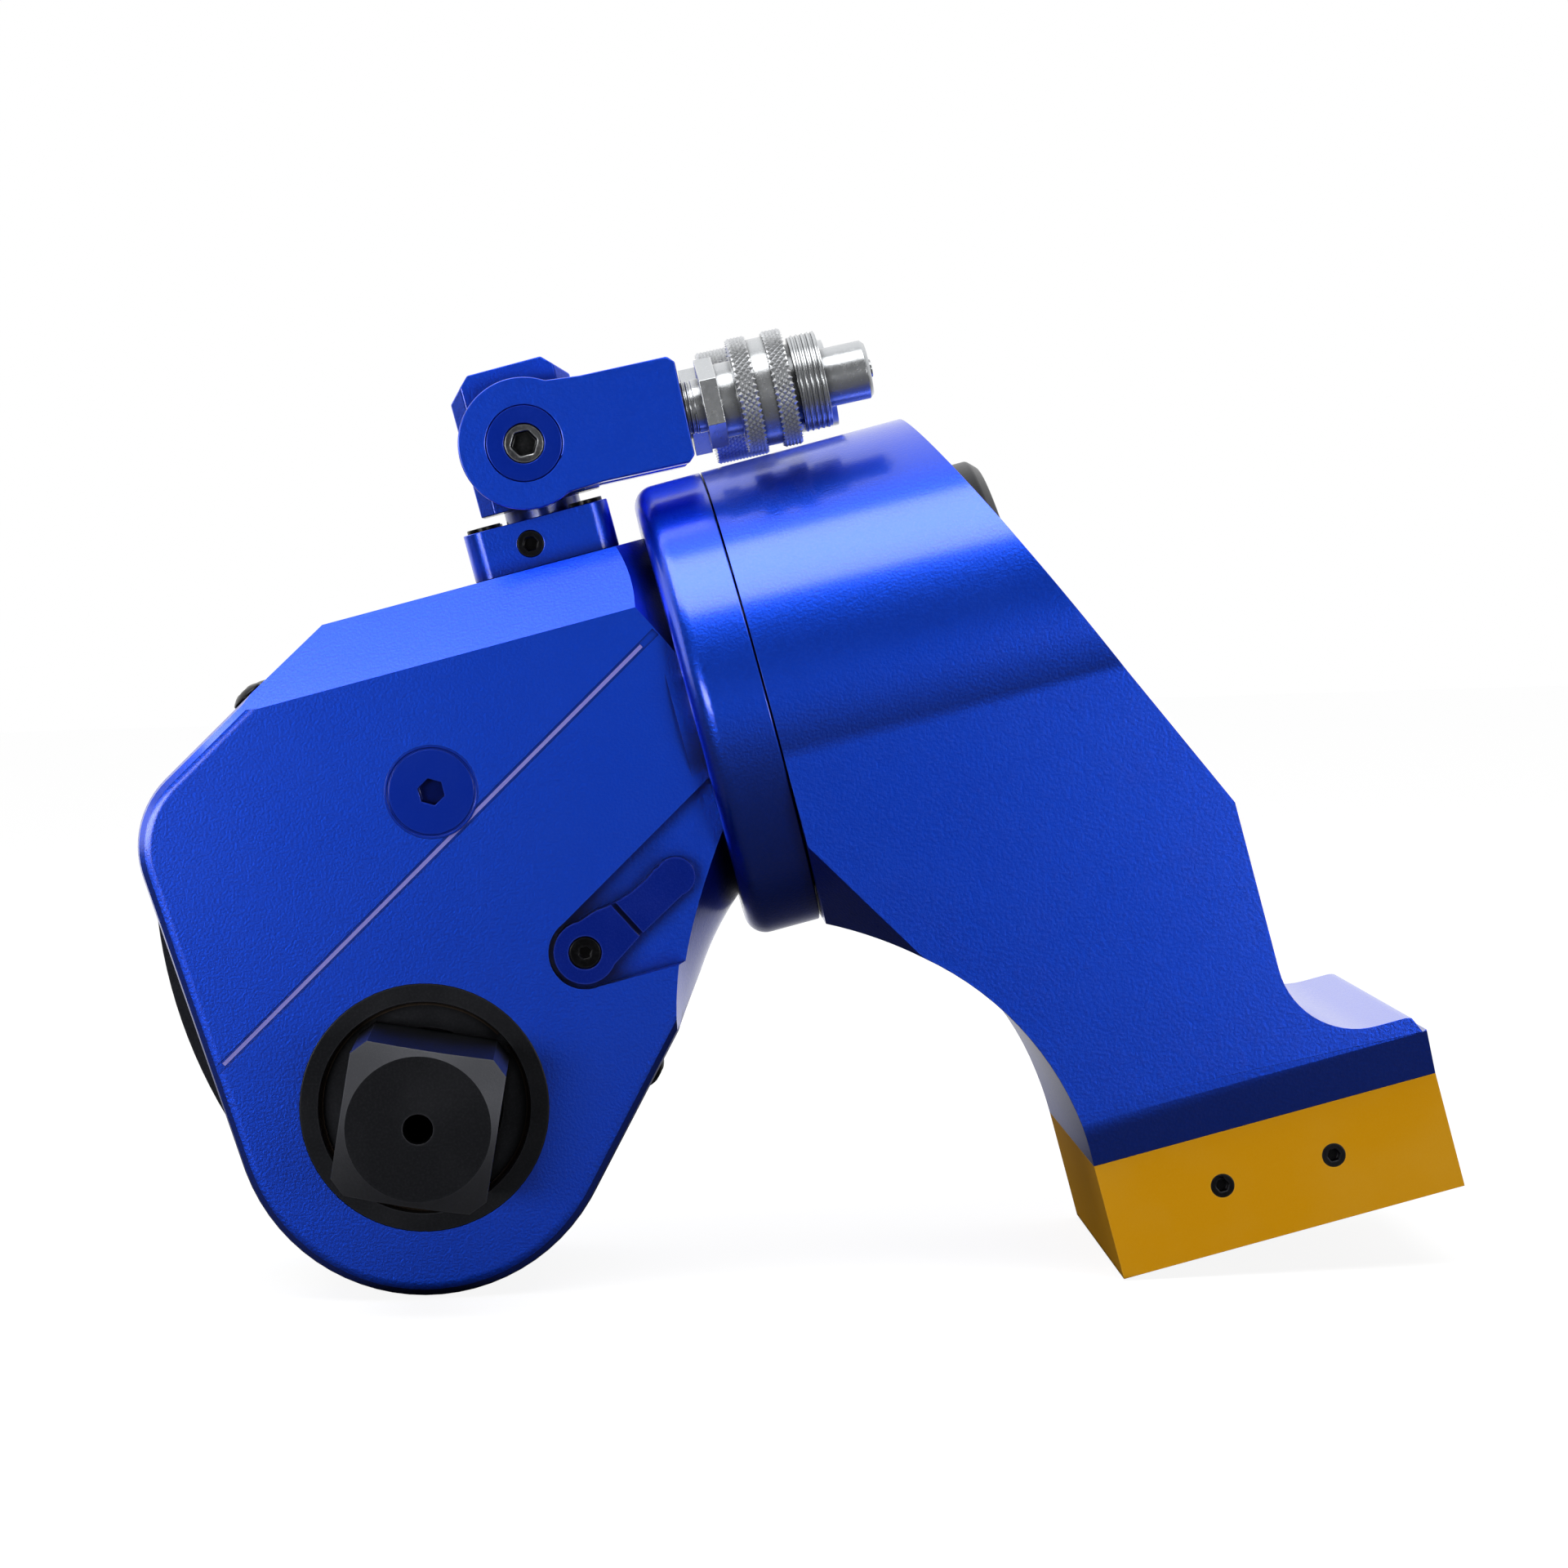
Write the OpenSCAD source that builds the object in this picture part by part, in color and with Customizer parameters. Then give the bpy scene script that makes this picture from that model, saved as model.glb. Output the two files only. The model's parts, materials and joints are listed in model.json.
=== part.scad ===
// Square-drive hydraulic torque wrench: ratchet head, hydraulic cylinder, swivel coupling and reaction arm.
// The tool is drawn about its drive axis: X runs back along the cylinder, the square points to -Y, Z is up.
// stand() then tips it on to the head's round end and the heel of the reaction arm, as it stands on a bench.

/* [Head] */
// Radius of the round end about the drive axis
head_r = 48; // [44:0.5:54]
// Width of the housing along the drive axis
head_w = 90; // [84:1:100]
// Height of the cylinder axis above the drive axis
axis_h = 76; // [72:0.5:82]
// Height of the flat top above the cylinder axis
top_h = 47.3; // [44:0.1:50]
// Reach of the front face ahead of the drive axis
front_reach = 52.8; // [51:0.1:56]
// Radius of the front top corner
corner_r = 24; // [18:0.5:28]
// Slope of the front top face
slope_a = 29.8; // [24:0.1:34]
// Place along the cylinder where the slope meets the top
slope_x = 6.3; // [2:0.1:12]
// Slope of the lower rear face
rear_a = 47.5; // [46:0.5:50]
// Rear end of the head's straight outline, where the turned flare takes over
block_end = 76; // [75:0.5:77]
// Width of the chamfers along the top
top_chamfer = 16; // [10:0.5:20]
// Radius of the rounded outline edges
edge_r = 4; // [2:0.5:6]
// Width of the slot for the ratchet and crank
slot_w = 44; // [42:1:50]
// Thickness of the shroud over the slot
rim_t = 6.5; // [5:0.25:7]
// How far the shroud bulges at the front
belly_h = 5; // [2:0.5:6]
// Width of the groove across the side faces
groove_w = 2.2; // [1:0.1:3]

/* [Drive] */
// Square drive across flats
square_af = 38.1; // [36:0.1:40]
// Reach of the square beyond the housing
square_reach = 42; // [36:1:50]
// Angle at which the square stands
square_turn = 24; // [0:1:44]
// Corner chamfer of the square
square_chamfer = 3.6; // [2:0.1:5]
// Radius of the turned face on the end of the square
square_face_r = 17.7; // [14:0.1:19]
// Radius of the centre hole in the square
centre_r = 3.7; // [2.5:0.1:5]
// Outer radius of the drive bushes
bush_r = 31.3; // [30:0.1:34]
// Bore radius of the drive bushes
bush_bore_r = 26.5; // [26:0.1:28]
// Radius over the ratchet teeth
ratchet_r = 37; // [35:0.25:39]
// Number of ratchet teeth
ratchet_teeth = 30; // [20:1:36]
// Radius of the retainer on the far end of the drive
retainer_r = 24; // [20:0.5:28]
// Radius of the retainer's push button
button_r = 8; // [5:0.5:10]

/* [Crank and piston] */
// Place of the rod pin at the start of the stroke
pin_x = 22.5; // [18:0.5:25]
// Radius of the rod pin
pin_r = 8; // [6:0.25:9]
// Thickness of each drive plate
plate_t = 8; // [6:0.5:9]
// Radius of the cylinder bore
bore_r = 27; // [24:0.5:30]
// Radius of the piston rod
rod_r = 14; // [11:0.5:16]
// Length of the piston
piston_l = 22; // [16:1:28]

/* [Cylinder] */
// Radius of the neck behind the head
neck_r = 47; // [45:0.5:49]
// Front face of the collar
collar_x = 90.5; // [88:0.5:94]
// Length of the collar
collar_l = 18.6; // [14:0.2:24]
// Outer radius of the collar and of the reaction arm's barrel
barrel_r = 60; // [58:0.5:66]
// Wall of the collar over its seat
collar_wall = 8; // [7:0.25:9]
// Rear end of the cylinder
tail_end = 165; // [158:1:170]
// Height of the splines
spline_h = 4.5; // [3:0.25:4.75]
// Number of splines
spline_n = 16; // [8:2:20]
// Radius of the end cap
cap_r = 45; // [40:0.5:46]
// Thickness of the end cap
cap_t = 14; // [10:0.5:20]

/* [Release lever] */
// Pivot of the reaction pawl along the cylinder
pivot_x = 49; // [47:0.5:51]
// Height of that pivot above the drive axis
pivot_z = 27; // [25:0.5:29]
// Radius of the pawl shaft
pivot_r = 5; // [4:0.25:6]
// Radius of the lever's boss
lever_r = 7.9; // [7:0.1:8.4]
// Length of the lever from its pivot
lever_l = 34.5; // [32:0.5:36]
// Angle of the lever above the cylinder axis
lever_a = 27; // [24:1:28]
// Depth of the lever's pocket
pocket_d = 6; // [4:0.5:8]

/* [Swivel] */
// Place of the swivel axis along the cylinder
swivel_x = 67.5; // [66:0.5:69]
// Middle of the swivel base along the cylinder
base_x = 65.1; // [64:0.1:66]
// Length of the swivel base
base_l = 38; // [36:0.5:40]
// Width of the swivel base
base_w = 37; // [34:0.5:42]
// Thickness of the swivel base
base_t = 12.4; // [10:0.2:14]
// Radius of the swivel post
post_r = 10; // [8:0.25:11]
// Width of the swivel head
block_w = 31.4; // [30:0.2:33]
// Height of the swivel head
block_h = 36; // [33:0.5:40]
// Height of the cross axle above the underside of the swivel head
axle_h = 15.2; // [15:0.2:19]
// Radius of the cross axle
axle_r = 8; // [6:0.25:9]
// Radius of the round end of each arm
hub_r = 16.7; // [15:0.1:16.8]
// Length of each arm from the axle
arm_l = 41.5; // [38:0.5:46]
// Height of each arm
arm_h = 27.3; // [24:0.1:29]
// Thickness of each arm
arm_t = 16; // [15:0.5:20]
// Droop of the arms below the cylinder axis
arm_droop = 2.6; // [0:0.1:2.7]

/* [Couplers] */
// Across flats of the coupler hexagons
hex_af = 20; // [18:0.5:22]
// Radius of the knurled sleeve on the male coupler
sleeve_r = 14.5; // [13:0.1:15]
// Radius of the male coupler's nose
nose_r = 7.5; // [6:0.1:9]
// Length of the male coupler's nose
nose_l = 11.8; // [9:0.2:14]
// Radius of the thread on the male coupler
thread_r = 12; // [11.5:0.1:13]
// Radius of the female coupler's nose
socket_r = 11.5; // [11:0.1:13]
// Bore radius of the female coupler
socket_bore_r = 8; // [7:0.1:9]

/* [Reaction arm] */
// Half width of the arm across its flat sides
flank_y = 58; // [55:0.5:59.5]
// Top of the slanted rear cut along the cylinder
cut_x = 163; // [160:0.5:168]
// Lean of the slanted rear cut
cut_a = 24.5; // [20:0.5:28]
// Rear face of the arm's leg
leg_x = 215; // [210:0.5:220]
// Inner face of the foot
foot_x = 158; // [154:0.5:162]
// Length of the foot
foot_l = 89; // [80:1:96]
// Height of the toe's top below the drive axis
toe_z = 41.5; // [38:0.5:44]
// Height of the foot's underside below the drive axis
sole_z = 87; // [82:0.5:92]
// Height of the pad
pad_h = 29.5; // [24:0.5:34]
// Half width of the pad
pad_y = 54; // [50:0.5:55]
// Radius of the arch between head and foot
arch_r = 78.3; // [74:0.5:82]
// Radius of the hollow above the toe
toe_fillet = 20; // [14:0.5:24]

/* [Stand] */
// Angle of the cylinder axis when the tool stands on a bench
stand_tilt = 13.4; // [0:0.1:20]
// Running clearance between shafts and bores
run_gap = 0.05; // [0.02:0.01:0.1]
// Clearance between bodies that move past each other
free_gap = 0.35; // [0.3:0.05:0.6]

/* [Hidden] */
$fn = 72;
over = 1;
half_w = head_w / 2;
slot_y = slot_w / 2;
top_z = axis_h + top_h;
corner_x = corner_r - front_reach;
slope_n = [-sin(slope_a), cos(slope_a)];
slope_k = slope_n * [slope_x, top_z];
corner_z = (slope_k - corner_r - slope_n[0] * corner_x) / slope_n[1];
corner_c = [corner_x, corner_z];
front_a = atan2(corner_z, corner_x) + acos((head_r - corner_r) / norm(corner_c));
front_n = [cos(front_a), sin(front_a)];
rear_n = [sin(rear_a), -cos(rear_a)];
cavity_top = axis_h + 20;
slot_back = 42;
bulkhead = 20;
plate_y = 11;
hub_end = half_w - 5.5;
crank_a = atan(pin_x / axis_h);
pin_run = axis_h / cos(crank_a);
pin_slack = 0.5;
bore_front = slot_back + bulkhead;
cap_spigot = 15;
piston_back = tail_end - cap_spigot - 1;
seat_step = 0.5;
seat_r = barrel_r - collar_wall;
spline_r = seat_r - seat_step;
tail_r = spline_r - spline_h;
spline_w = 9;
cap_fit_r = min(cap_r, tail_r - over);
barrel_x = collar_x + collar_l + free_gap;
base_z = top_z;
swivel_rise = 3;
block_z = max(base_z + base_t + over, axis_h + barrel_r + swivel_rise);
axle_z = block_z + axle_h;
post_deep = 12;
set_r = 3.4;
shroud_head_r = 4.6;
shroud_head_h = 3;
shroud_shank_r = 2.5;
shroud_shank_l = 13;
base_head_r = 4.4;
base_head_h = 6;
base_shank_r = 3;
base_shank_l = 20;
pad_screw_r = 3;
pad_screw_in = 12;
pawl_x = 6;
pawl_z = 50;
pawl_pin_r = 4;
pawl_sleeve_r = 6;
pawl_boss_r = 9;
pawl_hub_r = 11;
pawl_arm = 9;
retainer_t = 7;
retainer_rim = 2;
button_out = 5;
button_seat = 5;
shaft_out = 3;
stem_r = 4;
stem_in = 4;
tongue_y = 20;
tongue_in = 12;
tongue_h = 16;
arm_y = block_w / 2 + free_gap;
coupler_y = arm_y + arm_t / 2;
arch_x = foot_x - arch_r;
arch_z = -55.2;
pad_top = pad_h - sole_z;
flank_fit = min(flank_y, barrel_r - seat_step);
pad_fit = min(pad_y, flank_fit - over);
face_y = -half_w;
shaft_r = 19.6;
seat_gap = 0.08;
hex_x = 4.8;
hex_l = 4.5;
sleeve_x = 13.9;
socket_hex_x = 1.8;
socket_sleeve_x = 7.2;
socket_end = 40.5;
socket_deep = 12;
plug_r = 9.6;
plug_t = 8;
plug_bore_r = 5.1;
sleeve_l = 13.7;
thread_x = 29;
thread_l = 7.2;
nose_end = thread_x + thread_l + nose_l;
spindle_r = 10.5;
poppet_r = 2.3;
pocket_a = 30;
lever_step = 12.9;
flare_r = 77;
flare_back = 49.7;
flare_off = 60.1;
flare_x = collar_x + flare_back;
flare_out = neck_r + flare_off;
flare_z = 11;

// The finished tool, tipped on to its head and heel
module stand() {
    translate([0, half_w, 0])
        rotate([0, -stand_tilt, 0])
            children();
}

// An outline in the tool's side view, as a plate from y0 to y1
module slab(y0, y1) {
    translate([0, y1, 0])
        rotate([90, 0, 0])
            linear_extrude(height = y1 - y0)
                children();
}

// A round bar along the drive axis
module bar_y(r, y0, y1) {
    translate([0, y1, 0])
        rotate([90, 0, 0])
            cylinder(h = y1 - y0, r = r);
}

// A round bar along the cylinder axis
module bar_x(r, x0, x1) {
    translate([x0, 0, 0])
        rotate([0, 90, 0])
            cylinder(h = x1 - x0, r = r);
}

module ring_y(r, bore, y0, y1) {
    difference() {
        bar_y(r, y0, y1);
        bar_y(bore, y0 - over, y1 + over);
    }
}

module ring_x(r, bore, x0, x1) {
    difference() {
        bar_x(r, x0, x1);
        bar_x(bore, x0 - over, x1 + over);
    }
}

module on_axis() {
    translate([0, 0, axis_h])
        children();
}

module rounded_rect(l, w, r) {
    square([l - 2 * r, w], center = true);
    square([l, w - 2 * r], center = true);
    for (x = [-1, 1], y = [-1, 1])
        translate([x * (l / 2 - r), y * (w / 2 - r)])
            circle(r);
}

// Side outline of the head, drawn in by d
module head_outline(d) {
    slope_top = (slope_k - d - slope_n[1] * (top_z - d)) / slope_n[0];
    rear_z = (rear_n[0] * block_end - head_r + d) / -rear_n[1];
    polygon([
        front_n * (head_r - d), corner_c + front_n * (corner_r - d), corner_c + slope_n * (corner_r - d),
        [slope_top, top_z - d], [block_end, top_z - d], [block_end, rear_z], rear_n * (head_r - d)]);
    circle(head_r - d);
    translate(corner_c)
        circle(corner_r - d);
}

// The open stretch of the head's rim, from the slope round the front to the lower rear face
module rim_sector() {
    far = 300;
    first = 97;
    last = 358;
    polygon([[0, 0], for (a = [first, 140, 200, 260, 310, last]) far * [cos(a), sin(a)]]);
}

module cavity_outline() {
    intersection() {
        head_outline(rim_t);
        translate([-200 + slot_back, -100])
            square([200, 100 + cavity_top]);
    }
    translate([pivot_x, pivot_z])
        circle(17);
}

// The head's block with its outline edges rounded over in three steps
module head_block() {
    hull() {
        slab(edge_r - half_w, half_w - edge_r)
            head_outline(0);
        slab(edge_r * 0.5 - half_w, half_w - edge_r * 0.5)
            head_outline(edge_r * 0.134);
        slab(edge_r * 0.134 - half_w, half_w - edge_r * 0.134)
            head_outline(edge_r * 0.5);
        slab(-half_w, half_w)
            head_outline(edge_r);
    }
}

// The turned hollow that leads from the head down to the neck
module neck_flare() {
    on_axis()
        rotate([0, 90, 0])
            rotate_extrude()
                intersection() {
                    translate([flare_out, flare_x])
                        circle(flare_r);
                    translate([neck_r - 5, 0])
                        square([120, collar_x]);
                }
}

module top_chamfers() {
    side = 3 * top_chamfer;
    for (s = [-1, 1])
        translate([-100, s * half_w, top_z - top_chamfer])
            rotate([s * 45, 0, 0])
                translate([0, s > 0 ? 0 : -side, -side / 2])
                    cube([300, side, side]);
}

module lever_pocket() {
    reach = 60;
    round = lever_r + 1.3;
    half = round - 0.1;
    slab(face_y - over, face_y + pocket_d)
        translate([pivot_x, pivot_z]) {
            circle(round);
            polygon([
                half * [-sin(pocket_a), cos(pocket_a)],
                half * [-sin(pocket_a), cos(pocket_a)] + reach * [cos(pocket_a), sin(pocket_a)],
                [reach, -half], [0, -half]]);
        }
}

module side_groove() {
    depth = 0.6;
    run = 156;
    for (s = [-1, 1])
        translate([-48.1, s * half_w - depth, 22.1])
            rotate([0, -30, 0])
                translate([0, 0, -groove_w / 2])
                    cube([run, 2 * depth, groove_w]);
}

module splines(r, w, x0, x1) {
    for (i = [0 : spline_n - 1])
        rotate([i * 360 / spline_n, 0, 0])
            translate([x0, -w / 2, 0])
                intersection() {
                    cube([x1 - x0, w, r + over]);
                    translate([-x0, w / 2, 0])
                        bar_x(r, x0 - over, x1 + over);
                }
}

module shroud_places() {
    along = [slope_n[1], -slope_n[0]];
    high = corner_c + slope_n * corner_r + along * 27;
    low = rear_n * head_r + [-rear_n[1], rear_n[0]] * 31.5;
    for (y = [-13, 13]) {
        translate([high[0], y, high[1]])
            rotate([0, -slope_a, 0])
                children();
        translate([low[0], y, low[1]])
            rotate([0, 180 - rear_a, 0])
                children();
    }
}

module housing() {
    color("#2a3fc4")
        difference() {
            union() {
                difference() {
                    union() {
                        head_block();
                        slab(-half_w, half_w)
                            translate([block_end - 10, flare_z])
                                square([collar_x - block_end + 10, top_z - flare_z]);
                    }
                    neck_flare();
                    top_chamfers();
                }
                on_axis() {
                    bar_x(neck_r, collar_x - 4, collar_x + over);
                    bar_x(tail_r, collar_x, tail_end);
                    bar_x(seat_r, collar_x, collar_x + collar_l);
                    splines(spline_r, spline_w, collar_x + collar_l, tail_end - 4);
                }
            }
            slab(-slot_y, slot_y) {
                cavity_outline();
                intersection() {
                    rim_sector();
                    difference() {
                        head_outline(-over);
                        head_outline(rim_t);
                    }
                }
            }
            bar_y(bush_r, -half_w - over, half_w + over);
            on_axis() {
                bar_x(rod_r + run_gap, slot_back - over, bore_front + over);
                bar_x(rod_r + 3, slot_back + 8, slot_back + 12);
                bar_x(bore_r, bore_front, tail_end + over);
                translate([pin_x, 0, 0])
                    bar_y(pin_r + 1, -half_w - over, 0);
                translate([pin_x, 0, 0])
                    bar_y(11.8, -half_w - over, -half_w + 8);
            }
            lever_pocket();
            translate([pivot_x, 0, pivot_z])
                bar_y(pivot_r + run_gap, -half_w, slot_y + 12);
            translate([swivel_x, 0, top_z - post_deep])
                cylinder(h = post_deep + over, r = post_r + run_gap);
            base_screw_places()
                translate([0, 0, -base_shank_l - 2 * over])
                    cylinder(h = base_shank_l + 3 * over, r = base_shank_r);
            shroud_places()
                translate([0, 0, -shroud_shank_l - over])
                    cylinder(h = shroud_shank_l + 2 * over, r = shroud_shank_r);
            side_groove();
        }
}

module shroud() {
    belly = [front_n * head_r, corner_c + front_n * corner_r];
    chord = norm(belly[1] - belly[0]) - 6;
    belly_r = (chord * chord / 4 + belly_h * belly_h) / (2 * belly_h);
    middle = (belly[0] + belly[1]) / 2;
    color("#17181b")
        difference() {
            slab(run_gap - slot_y, slot_y - run_gap)
                intersection() {
                    rim_sector();
                    difference() {
                        union() {
                            head_outline(0);
                            intersection() {
                                translate(middle + front_n * (belly_h - belly_r))
                                    circle(belly_r);
                                translate(middle)
                                    rotate(front_a)
                                        translate([-over, -chord / 2])
                                            square([2 * belly_h, chord]);
                            }
                        }
                        head_outline(rim_t);
                    }
                }
            shroud_places()
                translate([0, 0, -shroud_shank_l - over])
                    cylinder(h = shroud_shank_l + 2 * over, r = shroud_shank_r + run_gap);
        }
}

module button_screw(head, high, shank, deep) {
    difference() {
        union() {
            rotate_extrude()
                intersection() {
                    translate([0, high - 1.6 * head])
                        circle(1.6 * head);
                    square([head, high]);
                }
            translate([0, 0, -deep])
                cylinder(h = deep, r = shank);
        }
        translate([0, 0, high / 3])
            cylinder(h = high, r = head * 0.45, $fn = 6);
    }
}

module shroud_screws() {
    color("#1c1c1f")
        shroud_places()
            button_screw(shroud_head_r, shroud_head_h, shroud_shank_r, shroud_shank_l);
}

module front_bush() {
    color("#141416")
        ring_y(bush_r, bush_bore_r, -half_w, -slot_y - 1);
}

module rear_bush() {
    color("#141416")
        ring_y(bush_r, bush_bore_r, slot_y + 1, half_w);
}

module retaining_rings() {
    color("#4a4038")
        for (s = [-1, 1])
            difference() {
                ring_y(bush_bore_r, bush_bore_r - 1, s * (hub_end + 1.2) - 0.6, s * (hub_end + 1.2) + 0.6);
                rotate([0, -25, 0])
                    translate([0, s * (hub_end + 1.2) - 2, -2])
                        cube([bush_r, 4, 4]);
            }
}

module access_plug() {
    color("#2a3fc4")
        translate([pin_x, 0, axis_h])
            difference() {
                bar_y(11.8, face_y, face_y + 8);
                rotate([0, 30, 0])
                    translate([0, face_y + 5, 0])
                        rotate([90, 0, 0])
                            cylinder(h = 6, r = 3.46, $fn = 6);
                rotate_y_ring(10.9, face_y);
            }
}

// A fine round groove on a face across the drive axis
module rotate_y_ring(r, y) {
    ring_y(r + 0.25, r - 0.25, y - 0.3, y + 0.3);
}

module collar() {
    round = 5.5;
    color("#2a3fc4")
        on_axis()
            rotate([0, 90, 0])
                rotate_extrude()
                    difference() {
                        translate([seat_r + seat_gap, collar_x])
                            square([barrel_r - seat_r - seat_gap, collar_l]);
                        difference() {
                            translate([barrel_r - round, collar_x - over])
                                square([round + over, round + over]);
                            translate([barrel_r - round, collar_x + round])
                                circle(round);
                        }
                    }
}

module end_cap() {
    rim = 2.4;
    color("#1a1b1e")
        on_axis()
            difference() {
                union() {
                    bar_x(bore_r, tail_end - cap_spigot, tail_end);
                    bar_x(cap_fit_r, tail_end, tail_end + cap_t - rim);
                    translate([tail_end + cap_t - rim, 0, 0])
                        rotate([0, 90, 0])
                            cylinder(h = rim, r1 = cap_fit_r, r2 = cap_fit_r - rim);
                }
                ring_x(bore_r + over, bore_r - 2.5, tail_end - 10, tail_end - 6.5);
                for (a = [0 : 90 : 270])
                    rotate([a, 0, 0])
                        translate([0, 0, 30])
                            bar_x(4, tail_end + cap_t - 8, tail_end + cap_t + over);
            }
}

module cap_seal() {
    color("#101010")
        on_axis()
            ring_x(bore_r, bore_r - 2.5, tail_end - 10, tail_end - 6.5);
}

module rod_seal() {
    color("#101010")
        on_axis()
            ring_x(rod_r + 3, rod_r + run_gap, slot_back + 8, slot_back + 12);
}

module base_screw_places() {
    for (x = [-1, 1], y = [-1, 1])
        translate([base_x + x * (base_l / 2 - 5.6), y * (base_w / 2 - 5.6), top_z])
            children();
}

module swivel_base() {
    color("#2a3fc4")
        difference() {
            translate([base_x, 0, base_z])
                linear_extrude(height = base_t)
                    rounded_rect(base_l, base_w, 5);
            translate([swivel_x, 0, base_z - over])
                cylinder(h = base_t + 2 * over, r = post_r + run_gap);
            base_screw_places() {
                translate([0, 0, -over])
                    cylinder(h = base_t + 2 * over, r = base_shank_r);
                translate([0, 0, base_t - base_head_h + over])
                    cylinder(h = base_head_h, r = base_head_r + 0.2);
            }
            translate([swivel_x - 5.2, 0, base_z + base_t / 2])
                bar_y(set_r, -base_w, -post_r - 2);
        }
}

module base_screws() {
    color("#1c1c1f")
        base_screw_places()
            difference() {
                union() {
                    translate([0, 0, -base_shank_l])
                        cylinder(h = base_t + base_shank_l - base_head_h + over, r = base_shank_r);
                    translate([0, 0, base_t - base_head_h + over])
                        cylinder(h = base_head_h, r = base_head_r);
                }
                translate([0, 0, base_t - base_head_h / 3])
                    cylinder(h = base_head_h, r = 2.6, $fn = 6);
            }
}

module base_set_screw() {
    color("#1c1c1f")
        translate([swivel_x - 5.2, 0, base_z + base_t / 2])
            difference() {
                bar_y(set_r, -base_w / 2, -post_r - 2);
                translate([0, -base_w / 2 + 3, 0])
                    rotate([90, 0, 0])
                        cylinder(h = 4, r = 2, $fn = 6);
            }
}

module piston() {
    color("#b9bcc2")
        on_axis()
            difference() {
                bar_x(bore_r - run_gap, piston_back - piston_l, piston_back);
                ring_x(bore_r + over, bore_r - 3, piston_back - piston_l / 2 - 3, piston_back - piston_l / 2 + 3);
            }
}

module piston_seal() {
    color("#101010")
        on_axis()
            ring_x(bore_r - run_gap, bore_r - 3, piston_back - piston_l / 2 - 3, piston_back - piston_l / 2 + 3);
}

module piston_rod() {
    eye_y = plate_y - free_gap;
    color("#c9ccd2")
        on_axis()
            difference() {
                union() {
                    bar_x(rod_r, pin_x, piston_back - piston_l);
                    translate([pin_x, 0, 0])
                        bar_y(rod_r, -eye_y, eye_y);
                }
                translate([pin_x, 0, 0])
                    bar_y(pin_r, -rod_r - over, rod_r + over);
                for (s = [-1, 1])
                    translate([pin_x - 2 * rod_r, s > 0 ? eye_y : -eye_y - rod_r, -rod_r - over])
                        cube([3.6 * rod_r, rod_r, 2 * rod_r + 2 * over]);
            }
}

module rod_pin() {
    color("#8d9097")
        translate([pin_x, 0, axis_h])
            bar_y(pin_r, -plate_y - plate_t, plate_y + plate_t);
}

// Outline of one drive plate: a ring round the ratchet hub and a lug slotted for the rod pin
module plate_outline() {
    lug_r = pin_r + 6;
    difference() {
        union() {
            circle(ratchet_r + 1);
            rotate(-crank_a)
                translate([-lug_r, 0])
                    square([2 * lug_r, pin_run]);
            rotate(-crank_a)
                translate([0, pin_run])
                    circle(lug_r);
        }
        circle(bush_bore_r - 0.4 + run_gap);
        rotate(-crank_a) {
            for (z = [axis_h - 1, pin_run + 1])
                translate([0, z])
                    circle(pin_r + pin_slack);
            translate([-pin_r - pin_slack, axis_h - 1])
                square([2 * (pin_r + pin_slack), pin_run - axis_h + 2]);
        }
    }
}

module drive_plates() {
    color("#7d8087")
        for (s = [-1, 1])
            difference() {
                slab(s > 0 ? plate_y : -plate_y - plate_t, s > 0 ? plate_y + plate_t : -plate_y)
                    plate_outline();
                spacer_places()
                    bar_y(pawl_pin_r, -slot_w, slot_w);
            }
}

module spacer_places() {
    rotate([0, crank_a, 0])
        translate([-pawl_x, 0, pawl_z])
            children();
}

module plate_spacers() {
    color("#8d9097")
        spacer_places() {
            bar_y(pawl_pin_r, -plate_y - plate_t, plate_y + plate_t);
            bar_y(pawl_sleeve_r, -plate_y, plate_y);
        }
}

// Pawl that drives the ratchet: it hangs on the spacer and bears on the tooth crests
module drive_pawl() {
    color("#6d7077")
        difference() {
            slab(free_gap - plate_y, plate_y - free_gap)
                rotate(-crank_a)
                    difference() {
                        union() {
                            translate([-pawl_x, pawl_z])
                                circle(pawl_boss_r);
                            translate([-pawl_x - 8, ratchet_r - 6])
                                square([16, pawl_z + 6 - ratchet_r]);
                        }
                        circle(ratchet_r + free_gap);
                    }
            spacer_places()
                bar_y(pawl_sleeve_r + run_gap, -slot_w, slot_w);
        }
}

module ratchet() {
    root = ratchet_r - 3;
    hub = bush_bore_r - 0.4;
    pitch = 360 / ratchet_teeth;
    color("#5d6067")
        difference() {
            union() {
                slab(free_gap - plate_y, plate_y - free_gap)
                    polygon([for (i = [0 : ratchet_teeth - 1], e = [0, 1])
                        (e == 0 ? root : ratchet_r) * [cos((i + e * 0.85) * pitch), sin((i + e * 0.85) * pitch)]]);
                bar_y(hub, -hub_end, hub_end);
            }
            bar_y(shaft_r, -half_w, half_w);
            shaft_splines(shaft_r + 2.5, 6);
        }
}

module shaft_splines(r, w) {
    for (a = [0 : 45 : 315])
        rotate([0, a, 0])
            translate([-w / 2, 2 - hub_end, 0])
                cube([w, 2 * hub_end - 4 + half_w, r]);
}

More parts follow.
